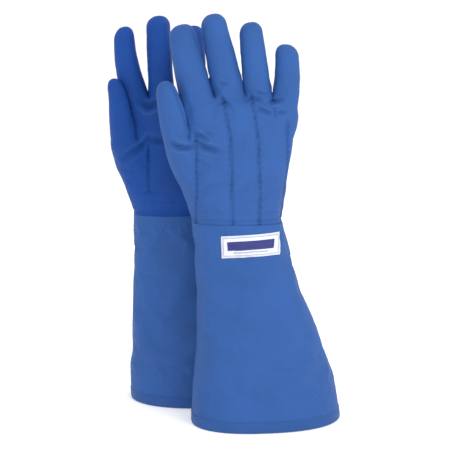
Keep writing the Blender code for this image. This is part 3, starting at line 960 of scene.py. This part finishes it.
def build_cuff_stitches(side, moved, materials):
    """The row that holds the hem tape, and the row round the label."""
    rows = []
    turns = np.linspace(0, 2 * math.pi, HEM_STITCHES, endpoint=False)
    step = 2 * math.pi / HEM_STITCHES * STITCH_SHARE
    hem = [cuff_points(side, moved, a, np.full(len(a), HEM_HEIGHT - 0.002), -0.0005) for a in (turns, turns + step)]
    rows.append((f"{side}_hem_stitches", hem, "thread", "binding"))
    inset = 0.0013
    u0, u1 = inset / LABEL_WIDTH, 1 - inset / LABEL_WIDTH
    v0, v1 = inset / LABEL_HEIGHT, 1 - inset / LABEL_HEIGHT
    corners = [(u0, v0), (u1, v0), (u1, v1), (u0, v1), (u0, v0)]
    pairs = ([], [])
    for (ua, va), (ub, vb) in zip(corners, corners[1:]):
        length = math.hypot((ub - ua) * LABEL_WIDTH, (vb - va) * LABEL_HEIGHT)
        count = round(length / STITCH_PITCH)
        for i in range(count):
            for kept, share in zip(pairs, (i / count, (i + STITCH_SHARE) / count)):
                kept.append((ua + (ub - ua) * share, va + (vb - va) * share))
    label = []
    for row in pairs:
        u, v = np.array(row).T
        x = LABEL_X + (u - 0.5) * LABEL_WIDTH
        z = LABEL_Z + (v - 0.5) * LABEL_HEIGHT + LABEL_TILT * (u - 0.5) * LABEL_WIDTH
        label.append(cuff_points(side, moved, label_angle(side, x, z), z, -0.0008))
    rows.append((f"{side}_label_stitches", label, "label_thread", "label"))
    for name, (starts, ends), material, slot in rows:
        middle = (starts + ends) / 2
        outs = middle - np.array([CUFF_RINGS[side][3][1], 0, 0]) - middle * (0, 0, 1)
        outs /= np.linalg.norm(outs, axis=1)[:, None]
        place = np.array(PLACES[side])
        thread = stitch_mesh(name, starts + place, ends + place, outs, materials[material])
        if slot == "label":
            bend_at_wrist(thread)
        else:
            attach(thread, f"{side}_cuff")


# ------------------------------------------------------------------------------------------- the gloves


def build_hand(glove, material):
    side = glove.side

    def whole(p):
        return glove.palm_and_back(p) - glove.thumb_folds(p)

    points, faces = mesh_field(glove.palm_and_back, whole, (-0.090, -0.046, 0.204), (0.095, 0.046, 0.384))
    cuts = [((0, 0, 0.212), (0, 0, -1), lambda p: p[:, 2] < 0.23)]

    def on_thumb(p):
        along = glove.thumb_local(p)[:, 2]
        beside = (glove.knit(p) > 0.0030) & (glove.thumb_free(p) < 0.012)
        return beside & (along > THUMB_CUT - 0.004) & (along < THUMB_FREE + 0.02)

    along = glove.thumb_axes[2]
    cuts.append((glove.thumb_base + THUMB_CUT * along, along, on_thumb))
    for finger, stall in glove.stalls.items():

        def belongs(p, stall=stall):
            own = stall.distance(p)
            nearest = np.min([other.distance(p) for other in glove.stalls.values()], axis=0)
            return (own <= nearest + 1e-9) & (stall.local(p)[0] > stall.cut - 0.006)

        cuts.append((stall.point(stall.cut), (stall.sine, 0, stall.cosine), belongs))
    hand = make_skin(f"{side}_hand_skin", side, points, faces, material, cuts)
    set_normals(hand, side, whole)
    paint_from_field(hand, side, glove.all_sewn)
    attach(hand, f"{side}_hand")
    panels = [f"{side}_{name}_back_panel" for name in FINGERS[:3]]
    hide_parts(*panels, f"{side}_palm_panel", f"{side}_hand_insulation")


def build_hand_lining(glove, material):
    """The knit lining that shows inside the hand, seen up the cuff."""

    def inside(p):
        return glove.hand(p) + HAND_WALL

    points, faces = mesh_field(inside, inside, (-0.075, -0.046, 0.200), (0.095, 0.046, 0.384), LINING_STEP)
    cut = ((0, 0, 0.214), (0, 0, -1), lambda p: p[:, 2] < 0.23)
    lining = make_skin(f"{glove.side}_hand_lining", glove.side, points, faces[:, ::-1], material, [cut])
    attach(lining, f"{glove.side}_hand")
    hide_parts(f"{glove.side}_hand_liner")


def build_finger(glove, finger, material):
    side, stall = glove.side, glove.stalls[finger]

    def base(p):
        return glove.one_stall(p, finger)

    def whole(p):
        return base(p) - glove.folds(p)

    tip = stall.point(stall.length)
    foot = stall.point(0)
    low = (min(tip[0], foot[0]) - 0.026, -0.026, foot[2] - 0.006)
    high = (max(tip[0], foot[0]) + 0.026, 0.028, tip[2] + 0.008)
    points, faces = mesh_field(base, whole, low, high)
    cut = (stall.point(stall.cut), (-stall.sine, 0, -stall.cosine), lambda p: p[:, 2] < 9)
    skin = make_skin(f"{side}_{finger}_skin", side, points, faces, material, [cut])
    set_normals(skin, side, whole)
    paint_from_field(skin, side, glove.sewn)
    start, end = to_row(side, np.array([stall.point(stall.cut - 0.001), stall.point(stall.cut + BEND_LENGTH)]))
    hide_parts(*[f"{side}_{finger}_{part}" for part in ("shell", "insulation", "liner")])
    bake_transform(skin)


def build_thumb(glove, material):
    side = glove.side

    def whole(p):
        return glove.thumb(p) - glove.thumb_folds(p)

    low, high = (-0.105, -0.048, 0.296), (-0.008, 0.048, 0.404)
    points, faces = mesh_field(glove.thumb, whole, low, high)
    along = glove.thumb_axes[2]
    cut = (glove.thumb_base + THUMB_CUT * along, -along, lambda p: p[:, 2] < 9)
    skin = make_skin(f"{side}_thumb_skin", side, points, faces, material, [cut])
    set_normals(skin, side, whole)
    paint_from_field(skin, side, glove.all_sewn)
    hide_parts(*[f"{side}_thumb_{part}" for part in ("shell", "insulation", "liner")])
    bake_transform(skin)


def profiles_of(rings, rounding):
    knots = [ring[0] for ring in rings]
    return [profile(knots, [ring[i] for ring in rings], rounding) for i in range(1, len(rings[0]))]


CUFF_PROFILES = {side: profiles_of(CUFF_RINGS[side], 0.016) for side in SIDES}


def cuff_base(side, angles, heights, insets):
    """Points on the smooth cuff, in the row's sense of y but about the glove's own place."""
    middle, width, front, back = (read(heights) for read in CUFF_PROFILES[side])
    cosine, sine = np.cos(angles), np.sin(angles)
    depth = np.where(sine > 0, back, front)
    power = 2 / CUFF_SQUARE
    x = width * np.sign(cosine) * np.abs(cosine) ** power
    y = depth * np.sign(sine) * np.abs(sine) ** power
    nx = np.sign(cosine) * np.abs(cosine) ** (2 - power) / width
    ny = np.sign(sine) * np.abs(sine) ** (2 - power) / depth
    size = np.hypot(nx, ny)
    x, y = x - insets * nx / size, y - insets * ny / size
    skew = CUFF_TWIST[side] * ramp(heights, 0.20, 0.0)
    return np.stack([middle + x, y + skew * x, heights], -1)


def cuff_cloth(side):
    """Runs the cuff as cloth, held at its hem and its wrist seam. Gives how far each grid point moves."""
    angles = np.linspace(0, 2 * math.pi, CUFF_COLUMNS, endpoint=False)
    heights = np.linspace(0, CUFF_TOP, CUFF_ROWS)
    points = cuff_base(side, np.tile(angles, CUFF_ROWS), np.repeat(heights, CUFF_COLUMNS), 0.0)
    faces = tube_faces(CUFF_ROWS, CUFF_COLUMNS)
    held = np.maximum(ramp(points[:, 2], 0.060, 0.010), ramp(points[:, 2], CUFF_TOP - 0.020, CUFF_TOP - 0.006))
    moved = run_cloth(points, faces, held, 0.0, CUFF_GROWTH) - points
    size = np.linalg.norm(moved, axis=1)
    moved *= (CUFF_CAP * np.tanh(size / CUFF_CAP) / np.maximum(size, 1e-9))[:, None]
    return moved.reshape(CUFF_ROWS, CUFF_COLUMNS, 3)


def cuff_points(side, moved, angles, heights, insets):
    """Points on the cuff with its cloth folds."""
    row = np.clip(heights / CUFF_TOP, 0, 1) * (CUFF_ROWS - 1)
    column = np.mod(angles / (2 * math.pi), 1) * CUFF_COLUMNS
    i, j = np.minimum(row.astype(int), CUFF_ROWS - 2), column.astype(int) % CUFF_COLUMNS
    u, v = ramp(row - i, 0, 1)[..., None], ramp(column - np.floor(column), 0, 1)[..., None]
    k = (j + 1) % CUFF_COLUMNS
    low = moved[i, j] * (1 - v) + moved[i, k] * v
    high = moved[i + 1, j] * (1 - v) + moved[i + 1, k] * v
    return cuff_base(side, angles, heights, insets) + low * (1 - u) + high * u


def tube_faces(rows, steps):
    faces = []
    for i in range(rows - 1):
        a = np.arange(steps) + i * steps
        b = np.roll(np.arange(steps), -1) + i * steps
        faces.append(np.stack([a, b, b + steps, a + steps], 1))
    return np.concatenate(faces)


def build_tube(name, side, moved, rows, steps, material):
    """A closed band from (height, inset) rows, the first row lowest on the outside."""
    angles = np.linspace(0, 2 * math.pi, steps, endpoint=False)
    z, inset = (np.repeat(np.array(column), steps) for column in zip(*rows))
    points = cuff_points(side, moved, np.tile(angles, len(rows)), z, inset)
    return make_object(name, points + np.array(PLACES[side]), tube_faces(len(rows), steps), material)


def bend_at_wrist(piece):
    """Bakes the piece's place in the row into its mesh."""
    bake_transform(piece)


def build_cuff(side, moved, materials):
    rows = [(z, 0.0) for z in np.linspace(0.004, CUFF_TOP - 0.001, 150)]
    rows += [(CUFF_TOP - 0.0003, 0.0004), (CUFF_TOP, 0.0013), (CUFF_TOP - 0.0003, 0.0030), (CUFF_TOP - 0.002, 0.0045)]
    cuff = build_tube(f"{side}_cuff_skin", side, moved, rows, 288, materials["shell"])
    lining_rows = [(z, CUFF_WALL) for z in np.linspace(0.222, 0.002, 60)]
    lining = build_tube(f"{side}_cuff_lining", side, moved, lining_rows, 144, materials["liner"])
    inner = CUFF_WALL + 0.0014
    hem_rows = [(HEM_HEIGHT, inner), (0.0010, inner), (0.0, CUFF_WALL), (0.0, 0.0014), (0.0008, 0.0)]
    hem_rows += [(z, -0.0005) for z in np.linspace(0.0025, HEM_HEIGHT - 0.0008, 5)]
    hem_rows += [(HEM_HEIGHT - 0.0002, -0.0002), (HEM_HEIGHT, 0.0005)]
    hem = build_tube(f"{side}_hem_tape", side, moved, hem_rows, 288, materials["binding"])
    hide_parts(f"{side}_cuff_shell", f"{side}_cuff_insulation", f"{side}_wrist_tape")
    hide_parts(f"{side}_cuff_liner")
    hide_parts(f"{side}_hem_binding")
    for piece in (cuff, lining):
        bend_at_wrist(piece)
    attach(hem, f"{side}_cuff")


def label_angle(side, x, z):
    """The angle of the cuff's section at x, on the back of the hand."""
    middle, half, _, _ = (read(z) for read in CUFF_PROFILES[side])
    across = (x - middle) / half
    cosine = np.sign(across) * np.abs(across) ** (CUFF_SQUARE / 2)
    return -PALM[side] * np.arccos(np.clip(cosine, -1, 1))


def build_label(side, moved, material):
    u, v = (a.ravel() for a in np.meshgrid(np.linspace(0, 1, LABEL_STEPS[0]), np.linspace(0, 1, LABEL_STEPS[1])))
    x = LABEL_X + (u - 0.5) * LABEL_WIDTH
    z = LABEL_Z + (v - 0.5) * LABEL_HEIGHT + LABEL_TILT * (u - 0.5) * LABEL_WIDTH
    edge = np.minimum(np.minimum(u, 1 - u) * LABEL_WIDTH, np.minimum(v, 1 - v) * LABEL_HEIGHT)
    puff = 0.0006 * ramp(edge, 0.0, 0.0004) + 0.0005 * ramp(edge, 0.0016, 0.0040)
    points = cuff_points(side, moved, label_angle(side, x, z), z, -0.0002 - puff)
    count = LABEL_STEPS[0]
    faces = [
        [j * count + i, j * count + i + 1, (j + 1) * count + i + 1, (j + 1) * count + i]
        for j in range(LABEL_STEPS[1] - 1)
        for i in range(count - 1)
    ]
    if side == "left":
        faces = [face[::-1] for face in faces]
    label = make_object(f"{side}_label_cloth", points + np.array(PLACES[side]), np.array(faces), material)
    layer = label.data.uv_layers.new(name="label")
    for loop in label.data.loops:
        layer.data[loop.index].uv = (u[loop.vertex_index], v[loop.vertex_index])
    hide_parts(f"{side}_label")
    bend_at_wrist(label)


def build_gloves():
    materials = {
        "shell": woven("shell_fabric", SHELL_COLOUR, 0.0009, 0.03, 0.0008),
        "liner": knitted("liner_knit", (0.72, 0.74, 0.76)),
        "binding": taped("binding_tape", scaled(SHELL_COLOUR, 0.95)),
        "label": satin_label("label_cloth"),
        "thread": twisted_thread("blue_thread", scaled(SHELL_COLOUR, 1.1)),
        "label_thread": twisted_thread("label_thread", (0.42, 0.45, 0.60)),
    }
    for side in SIDES:
        glove = Glove(side)
        add_relief(glove)
        moved = cuff_cloth(side)
        build_hand(glove, materials["shell"])
        build_hand_lining(glove, materials["liner"])
        for finger in FINGERS:
            build_finger(glove, finger, materials["shell"])
        build_thumb(glove, materials["shell"])
        build_hand_stitches(glove, materials["thread"])
        build_cuff(side, moved, materials)
        build_label(side, moved, materials["label"])
        build_cuff_stitches(side, moved, materials)


# --------------------------------------------------------------------------------- stage, lights, camera


def build_stage():
    floor = make_object(
        "floor",
        np.array([(-6, -6, 0), (6, -6, 0), (6, 6, 0), (-6, 6, 0)], float) - (0, 0, 0.0002),
        np.array([(0, 1, 2, 3)]),
        plain_surface("floor_paper", (0.95, 0.95, 0.95), 0.9, 0.22),
    )
    world = bpy.data.worlds.new("studio")
    world.use_nodes = True
    world.node_tree.nodes["Background"].inputs["Color"].default_value = (1, 1, 1, 1)
    world.node_tree.nodes["Background"].inputs["Strength"].default_value = 1.08
    bpy.context.scene.world = world


def add_lamp(name, place, aim, size, power):
    data = bpy.data.lights.new(name, "AREA")
    data.size = size
    data.energy = power
    lamp = bpy.data.objects.new(name, data)
    lamp.location = place
    lamp.rotation_euler = (Vector(aim) - Vector(place)).to_track_quat("-Z", "Y").to_euler()
    bpy.context.scene.collection.objects.link(lamp)


def build_camera():
    data = bpy.data.cameras.new("camera")
    data.sensor_width = 36
    data.lens = 77.76
    camera = bpy.data.objects.new("camera", data)
    place = PLACES["right"] + Vector((0, -1.10, 0.36))
    camera.location = place
    aim = Vector((place.x, place.y + 1.10, 0.225))
    camera.rotation_euler = (aim - place).to_track_quat("-Z", "Y").to_euler()
    bpy.context.scene.collection.objects.link(camera)
    bpy.context.scene.camera = camera


build_camera()
build_stage()
bpy.context.scene.view_settings.view_transform = "Standard"
add_lamp("key", (1.1, -1.4, 1.1), (0.03, 0, 0.25), 1.0, 14)
add_lamp("fill", (-0.4, -1.6, 0.7), (0, 0, 0.25), 1.2, 3)
build_gloves()
